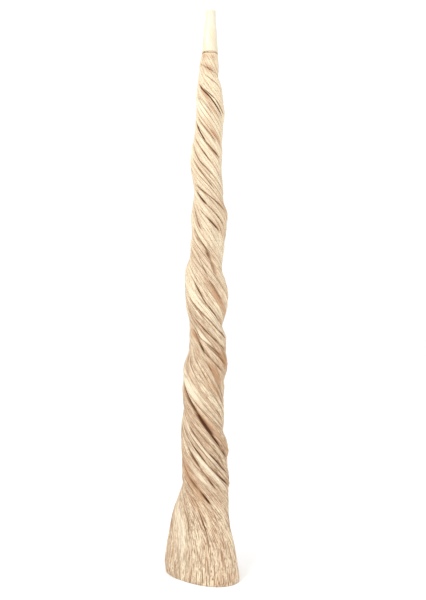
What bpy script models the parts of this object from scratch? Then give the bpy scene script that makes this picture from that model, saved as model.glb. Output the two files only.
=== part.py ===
"""A shofar: a straight horn with a left-hand twist, hollowed from the bell and drilled from the tip.

The pale mouthpiece is a piece of its own. Its tenon is lapped with waxed thread and pushes into a socket
in the horn's neck, and a ring of dark wax seals its shoulder. Units are metres and +Z is up. The horn
stands on its bell rim, with the origin at the middle of the rim and +X along the bell's longer width.
"""

import math

import bmesh
import bpy
from mathutils import Vector

# Overall sizes
TOTAL_LENGTH = 0.700  # bell rim to lip
MOUTHPIECE_LENGTH = 0.052  # lip to shoulder, which is what shows of the mouthpiece

# Horn, outside
BELL_HEIGHT = 0.120  # the flare's height above the rim
BELL_RADIUS = 0.0430  # mean of the rim's long and short half widths
BELL_OVAL = 0.0090  # added to the long half width and taken from the short one
FLARE_POWER = 1.5  # over 1 keeps the flare's top slim
SHAFT_RADIUS_LOW = 0.0290  # at the top of the bell
SHAFT_RADIUS_HIGH = 0.0167  # where the neck begins
NECK_HEIGHT = 0.055  # the taper between the shaft and the end face
NECK_END_RADIUS = 0.0101
RIM_ROUND = 0.0015
END_ROUND = 0.0008

# Twist, left-hand, seen as lines that fall to the right
PITCH_LOW = 0.197  # height of one turn in the lower shaft
PITCH_HIGH = 0.127  # and where the neck begins
TWIST_STARTS = 0.035  # height above the rim
TWIST_TIGHTENS = 0.300  # height above the rim

# Ridges and creases, in degrees of the section's own angle, which turns with the twist
CREASE_ANGLE = -13.0
LOBE_ANGLE = 5.0
LOBE_HEIGHT = 0.0026
SWAY_ANGLE = 60.0
SWAY = 0.0022  # how far the section's middle lies from the Z axis
CREASE_DEPTH = 0.0025  # at the foot of the shaft; it shrinks with the shaft
CREASE_WIDTH = 7.0
CREASES = (
    # (columns past the first crease, share of the full depth)
    (0, 1.00),
    (3, 0.45),
    (6, 0.65),
    (9, 0.40),
    (12, 0.55),
    (16, 0.95),
    (19, 0.50),
    (22, 0.60),
    (25, 0.45),
    (29, 0.50),
)

# Bore
RIM_WALL = 0.0040
CAVITY_RADIUS = 0.0200  # of the natural hollow at the top of the bell
CAVITY_TOP = 0.470  # height above the rim at which the hollow has narrowed to the drilled bore
DRILL_RADIUS = 0.0033

# Socket, lapping and seal
SOCKET_RADIUS = 0.0062
TENON_LENGTH = 0.0240
TENON_COLLAR = 0.0022  # full-width bands above and below the lapped stretch
THREAD = 0.0010  # diameter of the waxed thread
SEAL_THICKNESS = 0.0012
GAP = 0.0003  # between pieces that touch

# Mouthpiece
LIP_RADIUS = 0.0063
LIP_ROUND = 0.0007
CUP_RADIUS = 0.0048
CUP_DEPTH = 0.0140
THROAT_RADIUS = 0.0021
THROAT_LENGTH = 0.0040
STEP_RADIUS = 0.0075  # where the straight tip meets the wider foot
STEP_LENGTH = 0.0200  # lip to that place
FOOT_SPREAD = 0.0080  # the foot's shoulder curve takes this much height
FOOT_RADIUS = 0.0088
SHOULDER_RADIUS = 0.0099

# Mesh steps
COLUMNS = 32
RING_STEP = 0.0082
BORE_RINGS = 22
TURNED_SIDES = 28
LAPPING_SIDES = 18
ARC_STEPS = 3
HORN_SHARP = 45  # edges that turn more than this many degrees are drawn sharp
TURNED_SHARP = 35

SHOULDER_Z = TOTAL_LENGTH - MOUTHPIECE_LENGTH
SEAL_TOP = SHOULDER_Z - GAP
HORN_TOP = SEAL_TOP - SEAL_THICKNESS - GAP
NECK_Z = HORN_TOP - NECK_HEIGHT
SOCKET_Z = SHOULDER_Z - TENON_LENGTH - GAP
TENON_RADIUS = SOCKET_RADIUS - GAP
LAPPED_RADIUS = TENON_RADIUS - THREAD - GAP
FIRST_ANGLE = math.radians(CREASE_ANGLE)


def blend(low, high, share):
    """The value that far from low to high, with the share held between 0 and 1."""
    return low + (high - low) * min(1.0, max(0.0, share))


def ramp_area(z, start, end):
    """The integral up to z of a ramp that rises from 0 at start to 1 at end and stays at 1."""
    if z <= start:
        return 0.0
    if z >= end:
        return (end - start) / 2 + z - end
    return (z - start) ** 2 / (2 * (end - start))


def turn(z):
    """How far the section has turned at height z, in radians: below zero, for a left-hand twist."""
    low, high = 1 / PITCH_LOW, 1 / PITCH_HIGH
    turns = low * ramp_area(z, TWIST_STARTS, BELL_HEIGHT)
    turns += (high - low) * ramp_area(z, TWIST_TIGHTENS, NECK_Z)
    return -2 * math.pi * turns


def flare_share(z):
    """1 at the rim and 0 at the top of the bell."""
    height = min(1.0, z / BELL_HEIGHT)
    return max(0.0, math.sin(math.pi / 2 * (1 - height))) ** FLARE_POWER


def shaft_radius(z):
    """Mean radius of the shaft and neck, carried straight on down through the bell."""
    if z > NECK_Z:
        return blend(SHAFT_RADIUS_HIGH, NECK_END_RADIUS, (z - NECK_Z) / NECK_HEIGHT)
    slope = (SHAFT_RADIUS_HIGH - SHAFT_RADIUS_LOW) / (NECK_Z - BELL_HEIGHT)
    return SHAFT_RADIUS_LOW + slope * (z - BELL_HEIGHT)


def lobe_height(z):
    """The two lobes swell between the bell and the neck, and fade to nothing at both."""
    share = (z - BELL_HEIGHT / 2) / (NECK_Z - BELL_HEIGHT / 2)
    return LOBE_HEIGHT * math.sin(math.pi * share) ** 0.7 if 0 < share < 1 else 0.0


def crease_depth(own_angle, z):
    """Depth of the creases at a section angle in degrees. They fade out in the bell."""
    depth = 0.0
    for columns, share in CREASES:
        away = own_angle - CREASE_ANGLE - columns * 360 / COLUMNS
        away = (away + 180) % 360 - 180
        depth += share * math.exp(-((away / CREASE_WIDTH) ** 2))
    size = CREASE_DEPTH * shaft_radius(z) / SHAFT_RADIUS_LOW
    return depth * size * (1 - flare_share(z))


def outer_radius(own_angle, z):
    """The horn's outside at a section angle in degrees and a height."""
    share = flare_share(z)
    around = math.radians(own_angle) + turn(z)
    mean = shaft_radius(z) + (BELL_RADIUS - shaft_radius(0)) * share
    oval = BELL_OVAL * share * math.cos(2 * around)
    lobes = lobe_height(z) * math.cos(2 * math.radians(own_angle - LOBE_ANGLE))
    return mean + oval + lobes - crease_depth(own_angle, z)


def section_centre(z):
    """The middle of the section. It circles the Z axis, so that the horn sways as it twists."""
    offset = SWAY * lobe_height(z) / LOBE_HEIGHT
    around = math.radians(SWAY_ANGLE) + turn(z)
    return offset * math.cos(around), offset * math.sin(around)


def outer_ring(z, inset=0.0):
    """One ring of the outside. Its points turn with the twist, so that each column follows a strand."""
    ring = []
    middle_x, middle_y = section_centre(z)
    for column in range(COLUMNS):
        own = CREASE_ANGLE + column * 360 / COLUMNS
        around = math.radians(own) + turn(z)
        radius = outer_radius(own, z) - inset
        x = middle_x + radius * math.cos(around)
        y = middle_y + radius * math.sin(around)
        ring.append(Vector((x, y, z)))
    return ring


def bore_ring(z):
    """One ring of the hollow: oval at the rim, round above the bell, a plain hole above the cavity."""
    share = flare_share(z)
    cone = (z - BELL_HEIGHT) / (CAVITY_TOP - BELL_HEIGHT)
    mean = blend(blend(CAVITY_RADIUS, DRILL_RADIUS, cone), BELL_RADIUS - RIM_WALL, share)
    ring = []
    for column in range(COLUMNS):
        around = FIRST_ANGLE + 2 * math.pi * column / COLUMNS
        radius = mean + BELL_OVAL * share * math.cos(2 * around)
        ring.append(Vector((radius * math.cos(around), radius * math.sin(around), z)))
    return ring


def circle(radius, z, sides, first_angle=0.0):
    angles = [first_angle + 2 * math.pi * side / sides for side in range(sides)]
    return [Vector((radius * math.cos(a), radius * math.sin(a), z)) for a in angles]


def quarter(size):
    """(inset, drop) along a rounded edge, from the side to the face that it meets."""
    for step in range(ARC_STEPS + 1):
        angle = math.pi / 2 * step / ARC_STEPS
        yield size * (1 - math.cos(angle)), size * (1 - math.sin(angle))


def steps(low, high, count):
    return [low + (high - low) * step / count for step in range(count + 1)]


def add_points(bm, rings):
    return [[bm.verts.new(co) for co in ring] for ring in rings]


def add_band(bm, first, second, shift=0):
    """Faces between two rings, each point of the first meeting the second's point that many places on."""
    sides = len(first)
    for here in range(sides):
        after = (here + 1) % sides
        far_here, far_after = (here + shift) % sides, (after + shift) % sides
        bm.faces.new((first[here], first[after], second[far_after], second[far_here]))


def material(name, colour, roughness):
    made = bpy.data.materials.new(name)
    made.use_nodes = True
    shader = made.node_tree.nodes["Principled BSDF"]
    shader.inputs["Base Color"].default_value = (*colour, 1)
    shader.inputs["Roughness"].default_value = roughness
    shader.inputs["Metallic"].default_value = 0
    made.diffuse_color = (*colour, 1)
    return made


def finish_object(bm, name, finish, crease_degrees):
    """Triangulates along the short diagonals, points the faces out and puts the mesh in the scene."""
    bmesh.ops.triangulate(bm, faces=bm.faces[:], quad_method="SHORT_EDGE")
    bmesh.ops.recalc_face_normals(bm, faces=bm.faces[:])
    mesh = bpy.data.meshes.new(name)
    bm.to_mesh(mesh)
    bm.free()
    mesh.shade_smooth()
    mesh.set_sharp_from_angle(angle=math.radians(crease_degrees))
    mesh.materials.append(finish)
    made = bpy.data.objects.new(name, mesh)
    bpy.context.scene.collection.objects.link(made)
    return made


def turned(name, profile, sides, finish):
    """A ring-shaped piece from its section: (radius, height) points in order round the section."""
    bm = bmesh.new()
    points = add_points(bm, [circle(radius, z, sides) for radius, z in profile])
    for first, second in zip(points, points[1:] + points[:1]):
        add_band(bm, first, second)
    return finish_object(bm, name, finish, TURNED_SHARP)


def horn_body(finish):
    """The horn: one piece of keratin, from the bell rim to the end face that the seal sits on."""
    outside = [outer_ring(drop, inset) for inset, drop in reversed(list(quarter(RIM_ROUND)))]
    walls = steps(RIM_ROUND, HORN_TOP - END_ROUND, round(HORN_TOP / RING_STEP))
    outside += [outer_ring(z) for z in walls[1:]]
    outside += [outer_ring(HORN_TOP - drop, inset) for inset, drop in list(quarter(END_ROUND))[1:]]
    socket = [circle(SOCKET_RADIUS, z, COLUMNS, FIRST_ANGLE) for z in (HORN_TOP, SOCKET_Z)]
    heights = [CAVITY_TOP * (step / BORE_RINGS) ** 1.4 for step in range(BORE_RINGS + 1)]
    inside = socket + [bore_ring(z) for z in [SOCKET_Z] + heights[::-1]]
    bm = bmesh.new()
    outside = add_points(bm, outside)
    inside = add_points(bm, inside)
    for rings in (outside, inside):
        for first, second in zip(rings, rings[1:]):
            add_band(bm, first, second)
    turned_places = round(turn(HORN_TOP) / (2 * math.pi / COLUMNS))
    add_band(bm, outside[-1], inside[0], turned_places)
    add_band(bm, inside[-1], outside[0])
    return finish_object(bm, "horn_body", finish, HORN_SHARP)


def mouthpiece(finish):
    """Lip, cup, throat and backbore inside; lip, straight tip, foot and tenon outside."""
    tip = TOTAL_LENGTH
    tenon_end = SHOULDER_Z - TENON_LENGTH
    step_z = tip - STEP_LENGTH
    foot_z = step_z - FOOT_SPREAD
    lap_top, lap_bottom = SHOULDER_Z - TENON_COLLAR, tenon_end + TENON_COLLAR
    throat_top = tip - CUP_DEPTH
    throat_end = throat_top - THROAT_LENGTH
    cup_bend = blend(CUP_RADIUS, THROAT_RADIUS, 0.35), tip - CUP_DEPTH / 2
    profile = [
        (DRILL_RADIUS, tenon_end),
        (TENON_RADIUS, tenon_end),
        (TENON_RADIUS, lap_bottom),
        (LAPPED_RADIUS, lap_bottom),
        (LAPPED_RADIUS, lap_top),
        (TENON_RADIUS, lap_top),
        (TENON_RADIUS, SHOULDER_Z),
        (SHOULDER_RADIUS - END_ROUND, SHOULDER_Z),
        (SHOULDER_RADIUS, SHOULDER_Z + END_ROUND),
        (FOOT_RADIUS, foot_z),
        (blend(FOOT_RADIUS, STEP_RADIUS, 0.75), blend(foot_z, step_z, 0.6)),
        (STEP_RADIUS, step_z),
        (LIP_RADIUS, tip - 2 * LIP_ROUND),
        (LIP_RADIUS - LIP_ROUND / 3, tip - LIP_ROUND / 3),
        (LIP_RADIUS - LIP_ROUND, tip),
        (CUP_RADIUS + LIP_ROUND / 2, tip),
        (CUP_RADIUS, tip - LIP_ROUND),
        cup_bend,
        (THROAT_RADIUS, throat_top),
        (THROAT_RADIUS, throat_end),
    ]
    return turned("mouthpiece", profile, TURNED_SIDES, finish)


def thread_lapping(finish):
    """The wound thread as one sleeve with a round crest for each turn, in the tenon's lapped stretch."""
    low = SHOULDER_Z - TENON_LENGTH + TENON_COLLAR + GAP
    high = SHOULDER_Z - TENON_COLLAR - GAP
    inner = LAPPED_RADIUS + GAP
    crest, valley = TENON_RADIUS, TENON_RADIUS - THREAD / 4
    turns = round((high - low) / THREAD)
    pitch = (high - low) / turns
    profile = [(inner, low), (valley, low)]
    for count in range(turns):
        profile.append((crest, low + pitch * (count + 0.5)))
        profile.append((valley, low + pitch * (count + 1)))
    profile.append((inner, high))
    return turned("thread_lapping", profile, LAPPING_SIDES, finish)


def wax_seal(finish):
    """The ring of dark wax between the horn's end face and the mouthpiece's shoulder."""
    low = HORN_TOP + GAP
    inner = TENON_RADIUS + GAP
    outer = min(NECK_END_RADIUS, SHOULDER_RADIUS)
    middle = (low + SEAL_TOP) / 2
    profile = [
        (inner, low),
        (outer - SEAL_THICKNESS / 2, low),
        (outer, middle),
        (outer - SEAL_THICKNESS / 2, SEAL_TOP),
        (inner, SEAL_TOP),
    ]
    return turned("wax_seal", profile, TURNED_SIDES, finish)


def main():
    for leftover in list(bpy.data.objects):
        bpy.data.objects.remove(leftover)
    horn_body(material("raw_horn", (0.72, 0.52, 0.32), 0.6))
    mouthpiece(material("smoothed_horn", (0.90, 0.84, 0.66), 0.35))
    thread_lapping(material("waxed_thread", (0.30, 0.16, 0.05), 0.7))
    wax_seal(material("dark_wax", (0.11, 0.045, 0.017), 0.5))


main()
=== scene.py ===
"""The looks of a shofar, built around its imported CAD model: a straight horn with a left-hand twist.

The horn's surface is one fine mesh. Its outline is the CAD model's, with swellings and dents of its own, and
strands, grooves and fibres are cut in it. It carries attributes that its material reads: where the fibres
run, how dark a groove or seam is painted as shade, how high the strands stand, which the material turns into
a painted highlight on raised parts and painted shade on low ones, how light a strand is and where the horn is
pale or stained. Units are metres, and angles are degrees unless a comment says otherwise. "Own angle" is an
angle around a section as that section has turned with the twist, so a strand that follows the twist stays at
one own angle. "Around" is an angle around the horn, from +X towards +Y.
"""

import math

import bmesh
import bpy
import numpy as np
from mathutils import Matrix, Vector


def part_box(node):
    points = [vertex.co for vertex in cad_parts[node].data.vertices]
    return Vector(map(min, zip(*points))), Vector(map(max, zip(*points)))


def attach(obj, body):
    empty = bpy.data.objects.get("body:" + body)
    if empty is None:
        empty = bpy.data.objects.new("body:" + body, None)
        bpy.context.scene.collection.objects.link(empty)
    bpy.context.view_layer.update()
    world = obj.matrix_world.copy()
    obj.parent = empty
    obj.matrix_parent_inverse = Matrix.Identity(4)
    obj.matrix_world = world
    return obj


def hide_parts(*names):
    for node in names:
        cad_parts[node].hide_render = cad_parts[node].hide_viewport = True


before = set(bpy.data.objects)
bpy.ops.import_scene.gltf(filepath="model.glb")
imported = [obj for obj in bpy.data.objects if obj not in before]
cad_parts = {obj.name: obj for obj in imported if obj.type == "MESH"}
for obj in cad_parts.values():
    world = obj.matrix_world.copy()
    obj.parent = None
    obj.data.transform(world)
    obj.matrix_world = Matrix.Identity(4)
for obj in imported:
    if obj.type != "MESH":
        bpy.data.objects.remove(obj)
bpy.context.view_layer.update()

HORN_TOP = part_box("horn_body")[1].z
LIP_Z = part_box("mouthpiece")[1].z
TENON_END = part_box("mouthpiece")[0].z
SEAL_LOW, SEAL_HIGH = (corner.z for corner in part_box("wax_seal"))
LAPPING_LOW, LAPPING_HIGH = (corner.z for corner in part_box("thread_lapping"))
CLEARANCE = 0.0003  # between neighbouring pieces

# The horn's outline, as in the CAD model
BELL_HEIGHT = 0.120
BELL_RADIUS = 0.0430
BELL_OVAL = 0.0090
FLARE_POWER = 1.5
SHAFT_RADIUS_LOW = 0.0290
SHAFT_RADIUS_HIGH = 0.0167
NECK_Z = HORN_TOP - 0.055
NECK_END_RADIUS = 0.0101
PITCH_LOW = 0.197
PITCH_HIGH = 0.127
TWIST_STARTS = 0.035
TWIST_TIGHTENS = 0.300
LOBE_ANGLE = 5.0
LOBE_HEIGHT = 0.0026
SWAY_ANGLE = 60.0
SWAY = 0.0022
SKIN_INSET = 0.0006  # the shaft is drawn in by this, because its strands stand out
RIM_WALL = 0.0040
BELL_WALL = 0.0026  # kept between outline and bore where the bell is dented
CAVITY_RADIUS = 0.0200
CAVITY_TOP = 0.470
DRILL_RADIUS = 0.0033
SOCKET_RADIUS = 0.0062

# The horn's surface
COLUMNS = 312
ROWS = 284
ROW_SHARES = (0, 0.09, 0.88, 1)  # of the rows, below each of the heights in ROW_HEIGHTS
ROW_HEIGHTS = (0, 0.105, 0.590, HORN_TOP)
BORE_ROWS = 18
BORE_SPACING = 1.4  # a power: the bore's rows are closest at the rim
RIM_STEPS = 5
RIM_ROUND = 0.0016
END_ROUND = 0.0009
FRONT_ANGLE = -52.0  # around, the middle of the side with the listed grooves
BACK_SHARE = 0.35  # how much of a listed groove is left where it runs on round the back
GROOVE_FADE = 0.011  # the height over which a groove's end runs out
GROOVE_WIDTH = 0.84  # of the listed half widths
GROOVE_DEPTH = 0.95  # of the listed depths
GROOVE_WAVER = 0.0004
GROOVE_SIDES = 2.2  # half widths, over which its sides and its banks slope away
GROOVE_SIDES_SHARE = 0.25  # of its depth
BANK_PLACE = 3.2  # half widths from the groove's middle
BANK_SHARE = 0.32  # the height of a groove's swollen banks over its depth
STRANDS_START = 0.085
STRANDS_RISE = 0.045  # the height over which the strands rise to their full size
STRAND_HEIGHT = 0.0017
SEAM_WIDTH = 0.075  # of a strand's width
SEAM_DEPTH = 0.0010
# Painted shade darkens the seams by this much
SEAM_DARKNESS = 0.34
CORD_HEIGHT = 0.0004
CREASE_WIDTH = 0.11  # in the level of the noise that makes the cords
CREASE_DEPTH = 0.0004
# Painted shade darkens the creases by this much
CREASE_DARKNESS = 0.28
LUMP_HEIGHT = 0.0007
FIBRE_HEIGHT = 0.00024
FINE_FIBRE_HEIGHT = 0.00020
RIM_CALM = 0.015  # the detail grows over this height above the rim
END_CALM = 0.008  # and nearly dies out over this height under the end face
BORE_ROUGHNESS = 0.0003
GRAIN_RADIUS = 1.25  # of the shaft's: fibres are laid out on a plain cone, so they run on through the flare
# Own angles of the seams between strands
STRAND_LINES = (5, 24, 45, 58, 78, 96, 112, 128, 146, 166, 186, 204, 226, 247, 270, 290, 312, 328, 346)
GROOVES = (
    # (low end, own angle there, high end, own angle there, depth, half width, darkness)
    (0.617, 90, 0.633, 6, 0.0014, 0.0010, 0.65),
    (0.602, 52, 0.620, 0, 0.0012, 0.0009, 0.60),
    (0.568, 313, 0.590, 315, 0.0026, 0.0010, 1.00),
    (0.588, 316, 0.608, 299, 0.0022, 0.0010, 0.85),
    (0.572, 328, 0.588, 333, 0.0020, 0.0010, 1.00),
    (0.587, 333, 0.600, 316, 0.0016, 0.0009, 0.85),
    (0.569, 264, 0.576, 270, 0.0008, 0.0006, 0.50),
    (0.536, 195, 0.568, 190, 0.0016, 0.0009, 0.55),
    (0.535, 152, 0.558, 167, 0.0024, 0.0010, 0.90),
    (0.517, 158, 0.537, 152, 0.0022, 0.0010, 0.80),
    (0.508, 109, 0.545, 113, 0.0016, 0.0009, 0.55),
    (0.505, 66, 0.538, 76, 0.0016, 0.0009, 0.50),
    (0.478, 82, 0.515, 67, 0.0016, 0.0009, 0.55),
    (0.478, 35, 0.516, 41, 0.0020, 0.0010, 0.65),
    (0.450, 376, 0.484, 336, 0.0018, 0.0009, 0.60),
    (0.458, 321, 0.478, 313, 0.0036, 0.0016, 0.90),
    (0.432, 337, 0.460, 320, 0.0024, 0.0011, 0.60),
    (0.443, 283, 0.454, 276, 0.0016, 0.0008, 0.60),
    (0.428, 301, 0.445, 283, 0.0028, 0.0010, 1.00),
    (0.428, 234, 0.452, 243, 0.0016, 0.0009, 0.50),
    (0.400, 205, 0.432, 208, 0.0022, 0.0011, 0.65),
    (0.372, 173, 0.402, 203, 0.0032, 0.0028, 0.66),
    (0.366, 137, 0.400, 168, 0.0018, 0.0009, 0.55),
    (0.343, 135, 0.368, 138, 0.0020, 0.0010, 0.65),
    (0.334, 66, 0.366, 79, 0.0022, 0.0011, 0.90),
    (0.313, 70, 0.338, 68, 0.0020, 0.0010, 0.70),
    (0.303, 40, 0.346, 24, 0.0022, 0.0011, 0.65),
    (0.294, 54, 0.306, 40, 0.0024, 0.0011, 0.85),
    (0.297, 361, 0.335, 354, 0.0024, 0.0011, 0.60),
    (0.282, 376, 0.300, 361, 0.0026, 0.0013, 0.75),
    (0.295, 328, 0.314, 335, 0.0022, 0.0011, 0.55),
    (0.272, 353, 0.297, 327, 0.0024, 0.0011, 0.65),
    (0.278, 307, 0.306, 323, 0.0038, 0.0016, 1.00),
    (0.254, 326, 0.281, 307, 0.0020, 0.0010, 0.65),
    (0.262, 350, 0.290, 330, 0.0022, 0.0015, 0.55),
    (0.240, 259, 0.286, 264, 0.0014, 0.0009, 0.45),
    (0.240, 232, 0.278, 236, 0.0013, 0.0009, 0.45),
    (0.222, 288, 0.264, 293, 0.0012, 0.0008, 0.40),
    (0.205, 250, 0.240, 255, 0.0012, 0.0008, 0.35),
    (0.204, 165, 0.240, 174, 0.0044, 0.0021, 1.00),
    (0.176, 157, 0.206, 165, 0.0048, 0.0025, 1.00),
    (0.150, 153, 0.180, 156, 0.0038, 0.0017, 0.95),
    (0.144, 130, 0.186, 131, 0.0016, 0.0008, 0.50),
    (0.156, 107, 0.190, 109, 0.0024, 0.0010, 0.75),
    (0.128, 119, 0.158, 107, 0.0026, 0.0010, 0.80),
    (0.140, 79, 0.172, 81, 0.0022, 0.0011, 0.65),
    (0.112, 90, 0.142, 79, 0.0030, 0.0012, 1.00),
    (0.138, 53, 0.172, 63, 0.0026, 0.0014, 0.65),
    (0.114, 44, 0.140, 53, 0.0024, 0.0012, 0.55),
    (0.128, 0, 0.146, 9, 0.0022, 0.0014, 0.50),
    (0.110, 0, 0.130, 0, 0.0026, 0.0016, 0.60),
    (0.095, 3, 0.112, 1, 0.0032, 0.0014, 1.00),
    (0.085, 327, 0.102, 335, 0.0014, 0.0009, 0.55),
    (0.072, -8, 0.095, 2, 0.0012, 0.0008, 0.60),
    (0.046, 322, 0.088, 327, 0.0014, 0.0007, 0.95),
    (0.045, 280, 0.078, 290, 0.0012, 0.0008, 0.60),
)
BUMPS = (
    # (height, angle around, half height, half width in degrees, how far it stands out of the outline)
    (0.632, 38, 0.012, 35, -0.0010),
    (0.618, 38, 0.007, 35, -0.0028),
    (0.576, 38, 0.010, 35, 0.0012),
    (0.554, 38, 0.014, 35, 0.0010),
    (0.504, 38, 0.015, 35, -0.0036),
    (0.463, 38, 0.006, 35, -0.0014),
    (0.449, 38, 0.009, 35, 0.0018),
    (0.402, 38, 0.016, 35, 0.0030),
    (0.377, 38, 0.006, 35, -0.0022),
    (0.352, 38, 0.018, 35, 0.0032),
    (0.331, 38, 0.008, 35, 0.0016),
    (0.310, 38, 0.007, 35, -0.0022),
    (0.297, 38, 0.006, 35, 0.0014),
    (0.276, 38, 0.014, 35, -0.0024),
    (0.242, 38, 0.016, 35, -0.0040),
    (0.208, 38, 0.011, 35, 0.0016),
    (0.180, 38, 0.007, 35, -0.0034),
    (0.157, 38, 0.011, 35, 0.0022),
    (0.122, 38, 0.014, 35, 0.0044),
    (0.100, 38, 0.012, 35, 0.0014),
    (0.070, 38, 0.022, 45, -0.0040),
    (0.036, 44, 0.026, 38, -0.0040),
    (0.010, 50, 0.022, 32, -0.0030),
    (0.570, 218, 0.018, 35, -0.0016),
    (0.536, 218, 0.010, 35, 0.0010),
    (0.510, 218, 0.009, 35, 0.0012),
    (0.423, 218, 0.018, 35, -0.0052),
    (0.381, 218, 0.010, 35, 0.0016),
    (0.346, 218, 0.016, 35, -0.0014),
    (0.318, 218, 0.010, 35, -0.0014),
    (0.278, 218, 0.014, 35, -0.0048),
    (0.241, 218, 0.014, 35, -0.0018),
    (0.205, 218, 0.014, 35, -0.0010),
    (0.150, 218, 0.035, 40, -0.0036),
    (0.116, 218, 0.014, 35, -0.0012),
    (0.076, 218, 0.018, 35, 0.0018),
    (0.000, 218, 0.009, 30, -0.0034),
    (0.000, -12, 0.050, 30, 0.0026),
)
STAINS = (
    # (height, own angle, half height, half width in degrees, strength)
    (0.642, 65, 0.0030, 22, 0.7),
    (0.641, 115, 0.0028, 14, 0.6),
    (0.633, 350, 0.0040, 30, 0.5),
    (0.626, 45, 0.006, 40, 0.6),
    (0.592, 299, 0.009, 9, 1.0),
    (0.577, 288, 0.008, 9, 1.0),
    (0.543, 213, 0.008, 12, 1.0),
    (0.523, 153, 0.006, 10, 0.9),
    (0.455, 20, 0.012, 20, 0.5),
    (0.430, 310, 0.010, 16, 0.6),
    (0.343, 124, 0.018, 11, 1.0),
    (0.298, 312, 0.008, 10, 0.9),
    (0.269, 351, 0.013, 13, 1.0),
    (0.252, 303, 0.014, 12, 1.0),
    (0.235, 263, 0.012, 12, 0.7),
    (0.200, 169, 0.036, 8, 1.0),
    (0.141, 17, 0.012, 14, 0.8),
    (0.124, 0, 0.012, 13, 0.9),
    (0.108, 356, 0.012, 13, 0.8),
    (0.096, 335, 0.022, 20, 0.4),
)
PALE = (
    # (height, own angle, half height, half width in degrees, strength)
    (0.582, 231, 0.018, 12, 0.8),
    (0.497, 93, 0.012, 9, 0.9),
    (0.335, 48, 0.028, 8, 1.0),
    (0.292, 336, 0.015, 7, 1.0),
    (0.234, 197, 0.020, 12, 1.0),
    (0.162, 102, 0.030, 8, 1.0),
    (0.137, 71, 0.022, 9, 1.0),
    (0.131, 32, 0.014, 9, 0.9),
    (0.060, 262, 0.040, 14, 0.7),
)


def smooth(share):
    """0 below 0, 1 above 1 and an S curve between them."""
    share = np.clip(share, 0, 1)
    return share * share * (3 - 2 * share)


def ramp_area(z, start, end):
    """The integral up to z of a ramp that rises from 0 at start to 1 at end and stays at 1."""
    return (np.clip(z, start, end) - start) ** 2 / (2 * (end - start)) + np.maximum(z - end, 0)


def turn(z):
    """How far the section has turned at height z. It is negative because the twist is left-hand."""
    low, high = 1 / PITCH_LOW, 1 / PITCH_HIGH
    turns = low * ramp_area(z, TWIST_STARTS, BELL_HEIGHT)
    return -360 * (turns + (high - low) * ramp_area(z, TWIST_TIGHTENS, NECK_Z))


def flare_share(z):
    """1 at the rim and 0 at the top of the bell."""
    return np.clip(np.sin(np.pi / 2 * (1 - np.clip(z / BELL_HEIGHT, 0, 1))), 0, 1) ** FLARE_POWER


def shaft_radius(z):
    """Mean radius of the shaft and neck, carried straight on down through the bell."""
    slope = (SHAFT_RADIUS_HIGH - SHAFT_RADIUS_LOW) / (NECK_Z - BELL_HEIGHT)
    shaft = SHAFT_RADIUS_LOW + slope * (z - BELL_HEIGHT)
    taper = np.clip((z - NECK_Z) / (HORN_TOP - NECK_Z), 0, 1)
    neck = SHAFT_RADIUS_HIGH + (NECK_END_RADIUS - SHAFT_RADIUS_HIGH) * taper
    return np.where(z > NECK_Z, neck, shaft)


def mean_radius(z):
    """Mean radius of the outline, with the bell's flare."""
    return shaft_radius(z) + (BELL_RADIUS - shaft_radius(0)) * flare_share(z)


def lobe_share(z):
    """How much of the lobes is there: they swell between the bell and the neck, and fade out at both."""
    share = np.clip((z - BELL_HEIGHT / 2) / (NECK_Z - BELL_HEIGHT / 2), 0, 1)
    return np.sin(np.pi * share) ** 0.7


def cosine(degrees):
    return np.cos(np.radians(degrees))


def sine(degrees):
    return np.sin(np.radians(degrees))


def noise(own, z, around, height, seed):
    """Smooth noise from -1 to 1, with that many cells around the horn, each so high. It closes on itself."""
    rows = int(LIP_Z / height) + 4
    values = np.random.default_rng(seed).uniform(-1, 1, (rows, around))
    column, row = np.asarray(own) / 360 * around, np.asarray(z) / height + 1
    column, row = np.broadcast_arrays(column, row)
    left, below = np.floor(column).astype(int), np.floor(row).astype(int)
    across, up = smooth(column - left), smooth(row - below)
    left, right = left % around, (left + 1) % around
    low = values[below, left] * (1 - across) + values[below, right] * across
    high = values[below + 1, left] * (1 - across) + values[below + 1, right] * across
    return low * (1 - up) + high * up


def drifted(own, z):
    """Own angles with a little wander, so that fibres and strands don't keep exactly to the twist."""
    wander = 3 * noise(own, z, 5, 0.060, 11) + 1.5 * noise(own, z, 11, 0.022, 12)
    return own + wander * (0.3 + 0.7 * twisted_share(z))


def degrees_apart(own, line):
    """How far an angle is past a line's, from -180 to 180."""
    return (own - line + 180) % 360 - 180


def twisted_share(z):
    """1 along the shaft, fading to 0 in the bell, where the strands end."""
    return smooth((z - STRANDS_START) / STRANDS_RISE)


def near_top(z):
    """1 along the horn, fading out just under its end face."""
    return smooth((HORN_TOP - z) / END_CALM)


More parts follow.
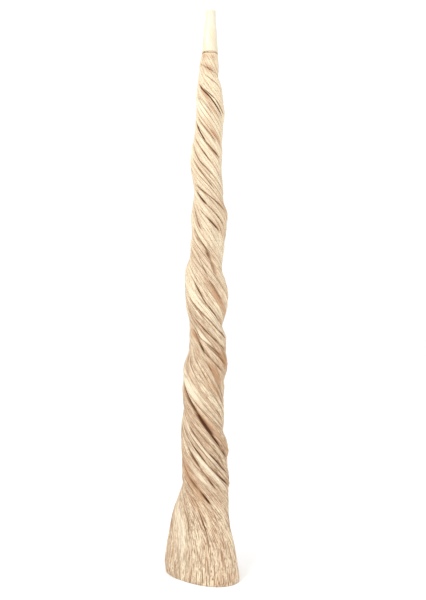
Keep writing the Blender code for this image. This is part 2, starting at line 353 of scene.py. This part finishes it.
def groove_parts(own, z):
    """Depth of the listed grooves, height of their swollen banks, both in metres, and their darkness as
    painted shade.
    """
    depth = np.zeros(np.broadcast(own, z).shape)
    banks = np.zeros(depth.shape)
    darkness = np.zeros(depth.shape)
    radius = mean_radius(z)
    step = 0.001
    twist = radius * np.radians(turn(z + step) - turn(z)) / step
    waver = GROOVE_WAVER * noise(own, z, 17, 0.014, 13) + GROOVE_WAVER / 2 * noise(own, z, 40, 0.005, 14)
    uneven = 0.8 + 0.45 * noise(own, z, 23, 0.010, 15)
    for low, low_angle, high, high_angle, deep, half_width, dark in GROOVES:
        share = np.clip((z - low) / (high - low), 0, 1)
        apart = np.radians(degrees_apart(own, low_angle + (high_angle - low_angle) * share)) * radius
        slant = twist + radius * math.radians(high_angle - low_angle) / (high - low)
        apart = (apart + waver) / np.sqrt(1 + slant**2)
        ends = smooth((z - low) / GROOVE_FADE + 0.5) * smooth((high - z) / GROOVE_FADE + 0.5)
        width = GROOVE_WIDTH * half_width * (0.45 + 0.55 * ends)
        cut = np.exp(-((apart / width) ** 2))
        sides = np.exp(-np.abs(apart) / (GROOVE_SIDES * half_width))
        shape = (1 - GROOVE_SIDES_SHARE) * cut + GROOVE_SIDES_SHARE * sides
        depth = np.maximum(depth, GROOVE_DEPTH * deep * ends * shape)
        # Painted shade along the middle and sides of each groove
        darkness = np.maximum(darkness, dark * ends * uneven * (0.9 * cut + 0.14 * sides))
        from_bank = np.abs(apart) - BANK_PLACE * half_width
        bank = np.exp(-((from_bank / (GROOVE_SIDES * half_width)) ** 2))
        banks = np.maximum(banks, BANK_SHARE * deep * ends * bank)
    return depth, banks, darkness


def grooves_all_round(own, z):
    """The listed grooves, which fade on the back, and the same again half a turn on, on the back only."""
    front = smooth(0.5 + 1.6 * cosine(own + turn(z) - FRONT_ANGLE))
    behind = (1 - front) * twisted_share(z)
    share = np.where(z > BELL_HEIGHT, BACK_SHARE + (1 - BACK_SHARE) * front, 1)
    both = zip(groove_parts(own, z), groove_parts(own + 180, z))
    return [np.maximum(here * share, there * behind) for here, there in both]


def strand_place(own):
    """How far across its strand a point is, from 0 to 1, and the number of that strand."""
    lines = np.array(STRAND_LINES + (STRAND_LINES[0] + 360,), float)
    turned = (own - lines[0]) % 360 + lines[0]
    number = np.clip(np.searchsorted(lines, turned, side="right") - 1, 0, len(STRAND_LINES) - 1)
    return (turned - lines[number]) / (lines[number + 1] - lines[number]), number


def strand_noise(number, z, height, seed):
    """Noise that changes along a strand but not across it."""
    return noise(number * 360 / len(STRAND_LINES), z, len(STRAND_LINES), height, seed)


def crease(level, width):
    """1 where noise passes through zero, which makes lines that run on, part and join."""
    return np.exp(-((level / width) ** 2))


def relief(own, z):
    """Height of all the detail over the plain outline, how dark its cuts are painted as shade, and the part
    without cuts.
    """
    grain = drifted(own, z)
    twisted = twisted_share(z)
    size = 0.35 + 0.65 * mean_radius(z) / SHAFT_RADIUS_LOW

    place, number = strand_place(grain)
    edge = np.minimum(place, 1 - place)
    line = number + (place > 0.5)
    strength = np.clip(0.55 + 0.8 * strand_noise(line, z, 0.040, 21), 0.08, 1)
    seams = strength * np.exp(-((edge / SEAM_WIDTH) ** 2))
    fat = 1 + 0.5 * strand_noise(number, z, 0.070, 31)
    swell = STRAND_HEIGHT * fat * ((4 * place * (1 - place)) ** 0.55 - 0.5)

    cords = noise(grain, z, 34, 0.075, 23) + 0.3 * noise(grain, z, 61, 0.030, 24)
    here = smooth(0.55 + 1.3 * noise(grain, z, 9, 0.045, 25))
    creases = here * crease(cords, CREASE_WIDTH)
    swell = swell + CORD_HEIGHT * (np.abs(cords) ** 0.6 - 0.5)

    fibres = FIBRE_HEIGHT * noise(grain, z, 90, 0.022, 32)
    fibres = fibres + FINE_FIBRE_HEIGHT * noise(grain, z, 130, 0.012, 33)
    lumps = LUMP_HEIGHT * noise(grain, z, 9, 0.022, 34)
    depth, banks, darkness = grooves_all_round(own, z)
    detail = (swell + lumps) * size * twisted + fibres
    lines = np.maximum(SEAM_DEPTH * seams, CREASE_DEPTH * creases)
    cut = np.maximum(lines * size * twisted, depth)
    # Painted shade in the seams and creases, and in the grooves
    dark_lines = np.maximum(SEAM_DARKNESS * seams, CREASE_DARKNESS * creases)
    dark = np.maximum(dark_lines * twisted, darkness)
    above_rim = 0.3 + 0.7 * smooth(z / RIM_CALM)
    height = (detail + banks - cut) * (0.1 + 0.9 * near_top(z)) * above_rim
    return height, np.clip(dark, 0, 1) * near_top(z), detail


def listed_spots(spots, angle, z, join):
    """Soft oval spots from a list, whose fields are those of STAINS. Join says how they combine."""
    total = np.zeros(np.broadcast(angle, z).shape)
    for height, middle, half_height, half_width, strength in spots:
        across = degrees_apart(angle, middle) / half_width
        along = (z - height) / half_height
        total = join(total, strength * np.exp(-(across**2) - along**2))
    return total


def outline(own, z):
    """The CAD model's outside without its creases, drawn in a little and with the listed bumps."""
    around = own + turn(z)
    oval = BELL_OVAL * flare_share(z) * cosine(2 * around)
    lobes = LOBE_HEIGHT * lobe_share(z) * cosine(2 * (own - LOBE_ANGLE))
    inset = SKIN_INSET * twisted_share(z) * smooth((HORN_TOP - z) / 0.030)
    return mean_radius(z) - inset + oval + lobes + listed_spots(BUMPS, around, z, np.add)


def place_points(own, z, radius):
    """Points of a section at those own angles. The sections of the shaft sway off the horn's axis."""
    around = own + turn(z)
    sway = SWAY * lobe_share(z)
    x = sway * cosine(SWAY_ANGLE + turn(z)) + radius * cosine(around)
    y = sway * sine(SWAY_ANGLE + turn(z)) + radius * sine(around)
    return np.stack(np.broadcast_arrays(x, y, z), axis=-1)


def rounded(size):
    """(inset, drop) along a rounded edge, from the side to the face that it meets."""
    angle = np.pi / 2 * np.arange(RIM_STEPS + 1) / RIM_STEPS
    return size * (1 - np.cos(angle)), size * (1 - np.sin(angle))


def bore_radius(around, z):
    """The CAD model's hollow: a wide oval mouth that narrows to the drilled hole."""
    share = flare_share(z)
    cone = np.clip((z - BELL_HEIGHT) / (CAVITY_TOP - BELL_HEIGHT), 0, 1)
    mean = CAVITY_RADIUS + (DRILL_RADIUS - CAVITY_RADIUS) * cone
    mean = mean + (BELL_RADIUS - RIM_WALL - mean) * share
    return mean + BELL_OVAL * share * cosine(2 * around)


def mesh_from_rings(name, rings, closed=True):
    """An object from rings of points: rings x points x 3. Its last ring meets its first if closed."""
    count, sides = rings.shape[:2]
    first = np.arange(count if closed else count - 1)[:, None] * sides
    here = np.arange(sides)[None, :]
    after = (here + 1) % sides
    above = (first + sides) % (count * sides)
    faces = np.stack([first + here, first + after, above + after, above + here], axis=-1)
    mesh = bpy.data.meshes.new(name)
    mesh.from_pydata(rings.reshape(-1, 3).tolist(), [], faces.reshape(-1, 4).tolist())
    mesh.update()
    mesh.shade_smooth()
    made = bpy.data.objects.new(name, mesh)
    bpy.context.scene.collection.objects.link(made)
    return made


def add_numbers(obj, name, values):
    """One number for each point, which a material reads by this name."""
    attribute = obj.data.attributes.new(name, "FLOAT", "POINT")
    attribute.data.foreach_set("value", np.asarray(values, np.float32).ravel())


def add_vectors(obj, name, values):
    attribute = obj.data.attributes.new(name, "FLOAT_VECTOR", "POINT")
    attribute.data.foreach_set("vector", np.asarray(values, np.float32).ravel())


def grain_points(own, z, radius):
    """Where each point would be if the horn were untwisted, so that fibres run straight along Z."""
    return np.stack(np.broadcast_arrays(radius * cosine(own), radius * sine(own), z), axis=-1)


def build_horn():
    own = np.arange(COLUMNS)[None, :] * 360 / COLUMNS
    inset, drop = rounded(RIM_ROUND)
    wall = np.interp(np.linspace(0, 1, ROWS), ROW_SHARES, ROW_HEIGHTS)
    wall = np.clip(wall, RIM_ROUND, HORN_TOP - END_ROUND)
    end_inset, end_drop = rounded(END_ROUND)
    z = np.concatenate([drop[::-1], wall[1:], HORN_TOP - end_drop[1:]])[:, None]
    inset = np.concatenate([inset[::-1], 0 * wall[1:], end_inset[1:]])[:, None]
    height, dark, detail = relief(own, z)
    outside = place_points(own, z, outline(own, z) + height - inset)

    bore_z = CAVITY_TOP * (np.arange(BORE_ROWS + 1) / BORE_ROWS) ** BORE_SPACING
    socket_end = TENON_END - CLEARANCE
    bore_z = np.concatenate([[HORN_TOP, socket_end, socket_end], bore_z[::-1]])[:, None]
    # The bore's columns meet the outside's at the rim and at the end face
    around = own + turn(np.array(HORN_TOP)) * smooth(bore_z / HORN_TOP)
    radius = bore_radius(around, bore_z)
    radius[:2] = SOCKET_RADIUS
    in_bell = bore_z < BELL_HEIGHT
    thinnest = outline(around - turn(bore_z), bore_z) - BELL_WALL
    radius = np.where(in_bell, np.minimum(radius, thinnest), radius)
    in_cavity = (bore_z < CAVITY_TOP) * smooth(bore_z / 0.02)
    rough = BORE_ROUGHNESS * noise(around, bore_z, 29, 0.050, 41) * in_cavity
    radius = radius + rough
    inside = np.stack(np.broadcast_arrays(radius * cosine(around), radius * sine(around), bore_z), axis=-1)

    horn = mesh_from_rings("horn", np.concatenate([outside, inside]))
    grain = drifted(own, z)
    number = strand_place(grain)[1]
    tone = 0.6 * strand_noise(number, z, 0.080, 51) * twisted_share(z) + 0.6 * noise(grain, z, 31, 0.050, 52)
    zeros = np.zeros(inside.shape[:2])
    # Painted shade for the grooves, seams and creases
    add_numbers(horn, "groove", np.concatenate([dark, zeros]))
    # Height of the strands, which the material paints as a highlight on raised parts and as shade on low ones
    add_numbers(horn, "ridge", np.concatenate([detail / 0.0010, zeros]))  # millimetres
    add_numbers(horn, "tone", np.concatenate([tone, zeros]))
    add_numbers(horn, "pale", np.concatenate([listed_spots(PALE, own, z, np.maximum), zeros]))
    add_numbers(horn, "stain", np.concatenate([listed_spots(STAINS, own, z, np.maximum), zeros]))
    add_numbers(horn, "inside", np.concatenate([0 * dark, zeros + 1]))
    outside_grain = grain_points(grain, z, GRAIN_RADIUS * shaft_radius(z))
    inside_grain = grain_points(around, bore_z, radius)
    add_vectors(horn, "grain", np.concatenate([outside_grain, inside_grain]))
    horn.data.materials.append(horn_material())
    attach(horn, "horn")
    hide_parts("horn_body")


class Nodes:
    """A short way to write a material's node tree."""

    def __init__(self, name):
        self.material = bpy.data.materials.new(name)
        self.material.use_nodes = True
        self.tree = self.material.node_tree
        self.shader = self.tree.nodes["Principled BSDF"]

    def link(self, value, socket):
        """Joins a socket to a socket, or sets its value from a number or a colour."""
        if isinstance(value, bpy.types.NodeSocket):
            self.tree.links.new(value, socket)
        else:
            socket.default_value = value

    def attribute(self, name, output="Fac"):
        node = self.tree.nodes.new("ShaderNodeAttribute")
        node.attribute_name = name
        return node.outputs[output]

    def position(self):
        return self.tree.nodes.new("ShaderNodeTexCoord").outputs["Object"]

    def axis(self, vector, name):
        node = self.tree.nodes.new("ShaderNodeSeparateXYZ")
        self.link(vector, node.inputs["Vector"])
        return node.outputs[name]

    def scaled(self, vector, scale):
        node = self.tree.nodes.new("ShaderNodeMapping")
        self.link(vector, node.inputs["Vector"])
        node.inputs["Scale"].default_value = scale
        return node.outputs["Vector"]

    def noise(self, vector, cell, detail=3.0, rough=0.55):
        """Noise from 0 to 1, whose cells have the size (x, y, z) in metres."""
        node = self.tree.nodes.new("ShaderNodeTexNoise")
        self.link(self.scaled(vector, tuple(1 / size for size in cell)), node.inputs["Vector"])
        node.inputs["Scale"].default_value = 1
        node.inputs["Detail"].default_value = detail
        node.inputs["Roughness"].default_value = rough
        return node.outputs["Fac"]

    def math(self, operation, *values, clamp=False):
        node = self.tree.nodes.new("ShaderNodeMath")
        node.operation = operation
        node.use_clamp = clamp
        for value, socket in zip(values, node.inputs):
            self.link(value, socket)
        return node.outputs[0]

    def total(self, *parts):
        """The sum of parts, each a value and its weight."""
        added = 0.0
        for value, weight in parts:
            added = self.math("MULTIPLY_ADD", value, weight, added)
        return added

    def spread(self, value, low, high):
        """0 at low or less, 1 at high or more."""
        node = self.tree.nodes.new("ShaderNodeMapRange")
        node.interpolation_type = "SMOOTHSTEP"
        self.link(value, node.inputs["Value"])
        node.inputs["From Min"].default_value = low
        node.inputs["From Max"].default_value = high
        return node.outputs["Result"]

    def mix(self, share, first, second):
        node = self.tree.nodes.new("ShaderNodeMix")
        node.data_type = "RGBA"
        self.link(share, node.inputs[0])
        self.link(first, node.inputs[6])
        self.link(second, node.inputs[7])
        return node.outputs[2]

    def tint(self, colour, where, strength, other):
        """The colour with another laid over it. Where is from 0 to 1, and strength scales it."""
        return self.mix(self.math("MULTIPLY", where, strength), colour, other)

    def bump(self, height, distance, normal=None):
        node = self.tree.nodes.new("ShaderNodeBump")
        self.link(height, node.inputs["Height"])
        node.inputs["Distance"].default_value = distance
        node.inputs["Strength"].default_value = 1
        if normal is not None:
            self.link(normal, node.inputs["Normal"])
        return node.outputs["Normal"]


# Colours of the horn
CREAM = (0.80, 0.69, 0.50, 1)
TAN = (0.61, 0.45, 0.305, 1)
# BROWN is the colour of the flecks and fibres, and also of the painted shade in grooves and seams
BROWN = (0.29, 0.160, 0.085, 1)
RUST = (0.43, 0.225, 0.110, 1)
# GROOVE is painted shade at the bottom of the grooves
GROOVE = (0.095, 0.034, 0.013, 1)
WHITISH = (0.80, 0.70, 0.55, 1)
BORE = (0.30, 0.20, 0.11, 1)


def horn_material():
    """Cream to tan keratin: fibres along the twist, rusty stains, painted shade in the grooves, painted light
    on the strands and top, and a darker bore.
    """
    m = Nodes("raw_horn_surface")
    grain = m.attribute("grain", "Vector")
    position = m.position()
    height = m.axis(position, "Z")
    fibres = m.noise(grain, (0.0022, 0.0022, 0.040), 4, 0.62)
    flecks = m.noise(grain, (0.0012, 0.0012, 0.022), 2, 0.6)
    dashes = m.noise(grain, (0.0010, 0.0010, 0.0070), 2, 0.6)
    speckle = m.noise(grain, (0.0013, 0.0013, 0.0022), 1, 0.6)
    mottle = m.noise(position, (0.017, 0.017, 0.022), 4)

    # Painted light: raised strands lighter as a highlight, low parts darker as shade
    ridge = m.spread(m.attribute("ridge"), -0.9, 0.8)
    tone = m.spread(m.attribute("tone"), -0.7, 0.8)
    pale = m.attribute("pale")
    # Painted light: the horn gets lighter towards the top
    top = m.spread(height, 0.04, 0.62)
    bell = m.spread(height, 0.125, 0.070)
    streaks = m.spread(fibres, 0.30, 0.70)
    lightness = m.total((ridge, 0.34), (tone, 0.52), (top, 0.34), (bell, 0.26), (streaks, 0.36), (pale, 0.60))
    colour = m.mix(m.spread(lightness, 0.26, 1.20), TAN, CREAM)
    marked = m.math("SUBTRACT", 0.90, m.total((top, 0.74), (pale, 0.50)), clamp=True)
    marked = m.math("MULTIPLY_ADD", bell, 0.02, marked)
    colour = m.tint(colour, m.spread(flecks, 0.47, 0.63), marked, BROWN)
    colour = m.tint(colour, m.spread(dashes, 0.51, 0.64), marked, BROWN)
    colour = m.tint(colour, m.spread(fibres, 0.57, 0.70), 0.25, BROWN)
    colour = m.tint(colour, m.spread(speckle, 0.54, 0.70), m.math("MULTIPLY", marked, 0.45), BROWN)
    colour = m.tint(colour, m.spread(mottle, 0.50, 0.72), 0.22, RUST)
    colour = m.tint(colour, pale, 0.50, WHITISH)

    stained = m.math("MULTIPLY", m.attribute("stain"), m.spread(fibres, 0.28, 0.50))
    colour = m.tint(colour, stained, 0.95, RUST)
    # Painted shade in the grooves, seams and creases
    groove_shade = m.attribute("groove")
    colour = m.tint(colour, m.spread(groove_shade, 0.07, 0.42), 0.82, BROWN)
    colour = m.tint(colour, m.spread(groove_shade, 0.36, 0.74), 0.92, GROOVE)
    inside = m.attribute("inside")
    colour = m.mix(inside, colour, m.mix(fibres, BORE, TAN))
    m.link(colour, m.shader.inputs["Base Color"])

    m.link(m.math("MULTIPLY_ADD", flecks, 0.25, 0.55), m.shader.inputs["Roughness"])
    m.shader.inputs["Specular IOR Level"].default_value = 0.25
    normal = m.bump(fibres, 0.0010)
    m.link(m.bump(flecks, 0.0008, normal), m.shader.inputs["Normal"])
    return m.material


def turned_rings(profile, sides):
    """Rings of points round the Z axis for a list of (radius, height)."""
    profile = np.array(profile)
    angle = np.arange(sides) * 360 / sides
    radius, z = profile[:, 0:1], profile[:, 1:2]
    return np.stack(np.broadcast_arrays(radius * cosine(angle), radius * sine(angle), z), axis=-1)


def resampled(profile, step):
    """More points along the straight stretches of a profile, so that a surface can be shaped there."""
    points = []
    for (r0, z0), (r1, z1) in zip(profile, profile[1:]):
        pieces = max(1, round(math.hypot(r1 - r0, z1 - z0) / step))
        for piece in range(pieces):
            share = piece / pieces
            points.append((r0 + (r1 - r0) * share, z0 + (z1 - z0) * share))
    return points + [profile[-1]]


MOUTHPIECE_SIDES = 96
SHOULDER_Z = SEAL_HIGH + CLEARANCE
TENON_RADIUS = SOCKET_RADIUS - CLEARANCE
LAPPED_RADIUS = TENON_RADIUS - 0.0013  # the tenon is thinner where the thread is wound on it
TIP_FACETS = 0.00010  # height of the marks left by scraping
TIP_STRANDS = 0.00022  # height of what the scraping left of the strands, near the seam
TIP_SHADE = (0.66, 0.60, 0.455, 1)
TIP_CREAM = (0.72, 0.655, 0.52, 1)
TIP_FOOT = (0.66, 0.53, 0.34, 1)


def mouthpiece_profile():
    """(radius, height) down the outside from the lip, and back up through the bore."""
    outside = [
        (0.0050, LIP_Z - 0.00004),
        (0.0053, LIP_Z),
        (0.0058, LIP_Z - 0.0002),
        (0.0061, LIP_Z - 0.0007),
        (0.00625, LIP_Z - 0.0016),
        (0.0064, LIP_Z - 0.0080),
        (0.0068, LIP_Z - 0.0150),
        (0.0074, LIP_Z - 0.0200),
        (0.0081, LIP_Z - 0.0260),
        (0.0087, LIP_Z - 0.0340),
        (0.0093, LIP_Z - 0.0430),
        (0.0097, SHOULDER_Z + 0.0012),
        (0.0096, SHOULDER_Z + 0.0004),
        (0.0092, SHOULDER_Z),
        (TENON_RADIUS, SHOULDER_Z),
        (TENON_RADIUS, LAPPING_HIGH + CLEARANCE),
        (LAPPED_RADIUS, LAPPING_HIGH + CLEARANCE),
        (LAPPED_RADIUS, LAPPING_LOW - CLEARANCE),
        (TENON_RADIUS, LAPPING_LOW - CLEARANCE),
        (TENON_RADIUS, TENON_END + 0.0005),
        (TENON_RADIUS - 0.0005, TENON_END),
    ]
    inside = [
        (DRILL_RADIUS, TENON_END),
        (0.0021, LIP_Z - 0.0180),
        (0.0021, LIP_Z - 0.0140),
        (0.0027, LIP_Z - 0.0115),
        (0.0037, LIP_Z - 0.0075),
        (0.0044, LIP_Z - 0.0040),
        (0.0048, LIP_Z - 0.0010),
    ]
    return resampled(outside, 0.0007), resampled(inside, 0.0012)


def build_mouthpiece():
    outside, inside = mouthpiece_profile()
    rings = turned_rings(outside + inside, MOUTHPIECE_SIDES)
    angle = np.arange(MOUTHPIECE_SIDES)[None, :] * 360 / MOUTHPIECE_SIDES
    z = rings[:, :, 2]
    is_outside = (np.arange(len(rings)) < len(outside))[:, None]
    shown = is_outside & (z > SHOULDER_Z + 0.0006) & (z < LIP_Z - 0.0010)
    own = angle - turn(z)
    low = smooth((LIP_Z - 0.018 - z) / 0.015)
    facets = TIP_FACETS * noise(angle, z, 9, 0.012, 61)
    change = shown * (facets + TIP_STRANDS * low * noise(own, z, 12, 0.018, 62))
    rings[:, :, 0] += change * cosine(angle)
    rings[:, :, 1] += change * sine(angle)
    tip = mesh_from_rings("mouthpiece_tip", rings)
    add_vectors(tip, "grain", grain_points(own, z, 0.009))
    add_numbers(tip, "lower", low * shown)
    tip.data.materials.append(mouthpiece_material())
    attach(tip, "mouthpiece")
    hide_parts("mouthpiece")


def mouthpiece_material():
    """Pale scraped horn with faint clouds, and a few browner streaks towards its foot."""
    m = Nodes("smoothed_horn_surface")
    grain = m.attribute("grain", "Vector")
    streaks = m.noise(grain, (0.0012, 0.0012, 0.030), 3)
    clouds = m.noise(m.position(), (0.006, 0.006, 0.010), 3)
    colour = m.mix(m.spread(clouds, 0.35, 0.70), TIP_SHADE, TIP_CREAM)
    foot = m.math("MULTIPLY", m.attribute("lower"), m.spread(streaks, 0.42, 0.66))
    m.link(m.tint(colour, foot, 0.7, TIP_FOOT), m.shader.inputs["Base Color"])
    m.link(m.math("MULTIPLY_ADD", streaks, 0.2, 0.28), m.shader.inputs["Roughness"])
    m.link(m.bump(streaks, 0.0002), m.shader.inputs["Normal"])
    return m.material


THREAD_RADIUS = 0.00050
THREAD_SIDES = 8
STEPS_IN_TURN = 72
THREAD_DARK = (0.22, 0.10, 0.03, 1)
THREAD_LIGHT = (0.46, 0.27, 0.11, 1)
THREAD_PLIES = (0.60, 0.42, 0.22, 1)


def build_lapping():
    """The thread itself, wound from the bottom of the tenon's lapped stretch to its top."""
    low, high = LAPPING_LOW + THREAD_RADIUS, LAPPING_HIGH - THREAD_RADIUS
    turns = round((high - low) / (2 * THREAD_RADIUS))
    share = np.linspace(0, 1, turns * STEPS_IN_TURN + 1)[:, None]
    angle = 360 * turns * share
    side = np.arange(THREAD_SIDES)[None, :] * 360 / THREAD_SIDES
    radius = LAPPED_RADIUS + CLEARANCE + THREAD_RADIUS + THREAD_RADIUS * cosine(side)
    height = low + (high - low) * share + THREAD_RADIUS * sine(side)
    rings = np.stack(np.broadcast_arrays(radius * cosine(angle), radius * sine(angle), height), axis=-1)
    lapping = mesh_from_rings("lapping_thread", rings, closed=False)
    close_tube_ends(lapping, len(rings), THREAD_SIDES)
    lapping.data.materials.append(thread_material())
    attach(lapping, "mouthpiece")
    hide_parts("thread_lapping")


def close_tube_ends(obj, rings, sides):
    """Puts a flat face on each end of a tube made by mesh_from_rings."""
    bm = bmesh.new()
    bm.from_mesh(obj.data)
    bm.verts.ensure_lookup_table()
    bm.faces.new([bm.verts[i] for i in range(sides)][::-1])
    bm.faces.new([bm.verts[(rings - 1) * sides + i] for i in range(sides)])
    bmesh.ops.recalc_face_normals(bm, faces=bm.faces[:])
    bm.to_mesh(obj.data)
    bm.free()


def thread_material():
    """Brown waxed thread: uneven wax over the wavy lines of its plies."""
    m = Nodes("waxed_thread_surface")
    plies = m.tree.nodes.new("ShaderNodeTexWave")
    plies.inputs["Scale"].default_value = 160
    plies.inputs["Distortion"].default_value = 3
    clouds = m.noise(m.position(), (0.003, 0.003, 0.002), 3)
    colour = m.mix(clouds, THREAD_DARK, THREAD_LIGHT)
    colour = m.tint(colour, plies.outputs["Fac"], 0.3, THREAD_PLIES)
    m.link(colour, m.shader.inputs["Base Color"])
    m.link(m.math("MULTIPLY_ADD", clouds, 0.3, 0.5), m.shader.inputs["Roughness"])
    m.link(m.bump(plies.outputs["Fac"], 0.00015), m.shader.inputs["Normal"])
    return m.material


SEAL_SIDES = 144
SEAL_STEPS = 8
SEAL_INSET = 0.0005  # from the neck's edge to the wax, before it bulges
SEAL_SQUEEZE = 0.00035
SEAL_BULGE = 0.0004
WAX_DARK = (0.25, 0.125, 0.06, 1)
WAX_LIGHT = (0.63, 0.45, 0.265, 1)


def build_seal():
    """The wax between neck and shoulder, squeezed out a little unevenly."""
    inner = TENON_RADIUS + CLEARANCE
    angle = np.arange(SEAL_SIDES)[None, :] * 360 / SEAL_SIDES
    squeeze = SEAL_SQUEEZE * noise(angle, 0.5 * SEAL_LOW + 0 * angle, 13, 0.5, 71)
    bulge = np.linspace(-90, 90, SEAL_STEPS)[:, None]
    radius = NECK_END_RADIUS - SEAL_INSET + squeeze + SEAL_BULGE * cosine(bulge)
    z = (SEAL_LOW + SEAL_HIGH) / 2 + (SEAL_HIGH - SEAL_LOW) / 2 * sine(bulge)
    outer = np.stack(np.broadcast_arrays(radius * cosine(angle), radius * sine(angle), z), axis=-1)
    inner_rings = turned_rings([(inner, SEAL_HIGH), (inner, SEAL_LOW)], SEAL_SIDES)
    seal = mesh_from_rings("seal_ring", np.concatenate([outer, inner_rings]))
    seal.data.materials.append(seal_material())
    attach(seal, "horn")
    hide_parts("wax_seal")


def seal_material():
    """Honey brown wax with dark patches."""
    m = Nodes("dark_wax_surface")
    patches = m.noise(m.position(), (0.0045, 0.0045, 0.004), 3)
    m.link(m.mix(m.spread(patches, 0.38, 0.54), WAX_DARK, WAX_LIGHT), m.shader.inputs["Base Color"])
    m.link(m.math("MULTIPLY_ADD", patches, 0.3, 0.3), m.shader.inputs["Roughness"])
    m.link(m.bump(patches, 0.0003), m.shader.inputs["Normal"])
    return m.material


FLOOR_SIZE = 12
FLOOR_SHADE = (0.95, 0.95, 0.95, 1)
FLOOR_PALE = (0.97, 0.97, 0.97, 1)


def build_floor():
    bpy.ops.mesh.primitive_plane_add(size=FLOOR_SIZE)
    floor = bpy.context.object
    floor.name = "floor"
    m = Nodes("pale_floor")
    clouds = m.noise(m.position(), (0.4, 0.4, 0.4), 2)
    m.link(m.mix(clouds, FLOOR_SHADE, FLOOR_PALE), m.shader.inputs["Base Color"])
    m.shader.inputs["Roughness"].default_value = 0.9
    floor.data.materials.append(m.material)


def area_light(name, place, target, size, power):
    data = bpy.data.lights.new(name, "AREA")
    data.size = size
    data.energy = power
    light = bpy.data.objects.new(name, data)
    light.location = place
    light.rotation_euler = (Vector(target) - Vector(place)).to_track_quat("-Z", "Y").to_euler()
    bpy.context.scene.collection.objects.link(light)


VIEW_ANGLE = 38.0  # the camera's place around the horn, from -Y towards +X
CAMERA_DISTANCE = 1.05
CAMERA_HEIGHT = 0.350
SENSOR_HEIGHT = 24  # millimetres
FOCAL_SHARE = 1.409  # focal length over the sensor's height
ROLL = 0.0165  # radians
AIM_SIDE = 0.0089  # the camera looks this far to the right of the horn's axis
AIM_DOWN = 0.0080
WORLD_STRENGTH = 1.06
LIGHT_TARGET_HEIGHT = 0.35


def around_camera(sideways, towards, height):
    """A place given in the camera's own directions, from the horn's foot."""
    east, north = cosine(VIEW_ANGLE), sine(VIEW_ANGLE)
    return Vector((sideways * east + towards * north, sideways * north - towards * east, height))


def build_camera():
    data = bpy.data.cameras.new("camera")
    data.sensor_fit = "VERTICAL"
    data.sensor_height = SENSOR_HEIGHT
    data.lens = SENSOR_HEIGHT * FOCAL_SHARE
    camera = bpy.data.objects.new("camera", data)
    place = around_camera(0, CAMERA_DISTANCE, CAMERA_HEIGHT)
    target = around_camera(AIM_SIDE, 0, CAMERA_HEIGHT - AIM_DOWN)
    camera.location = place
    camera.rotation_euler = (target - place).to_track_quat("-Z", "Y").to_euler()
    camera.rotation_euler.rotate_axis("Z", ROLL)
    bpy.context.scene.collection.objects.link(camera)
    bpy.context.scene.camera = camera


def build_light():
    world = bpy.data.worlds.new("studio")
    world.use_nodes = True
    world.node_tree.nodes["Background"].inputs["Color"].default_value = (1, 1, 1, 1)
    world.node_tree.nodes["Background"].inputs["Strength"].default_value = WORLD_STRENGTH
    bpy.context.scene.world = world
    bpy.context.scene.view_settings.view_transform = "Standard"
    target = (0, 0, LIGHT_TARGET_HEIGHT)
    area_light("key", around_camera(-0.8, 1.1, 1.5), target, size=0.45, power=15)
    area_light("fill", around_camera(1.3, 0.8, 0.5), target, size=0.8, power=4)


build_horn()
build_mouthpiece()
build_lapping()
build_seal()
build_floor()
build_light()
build_camera()
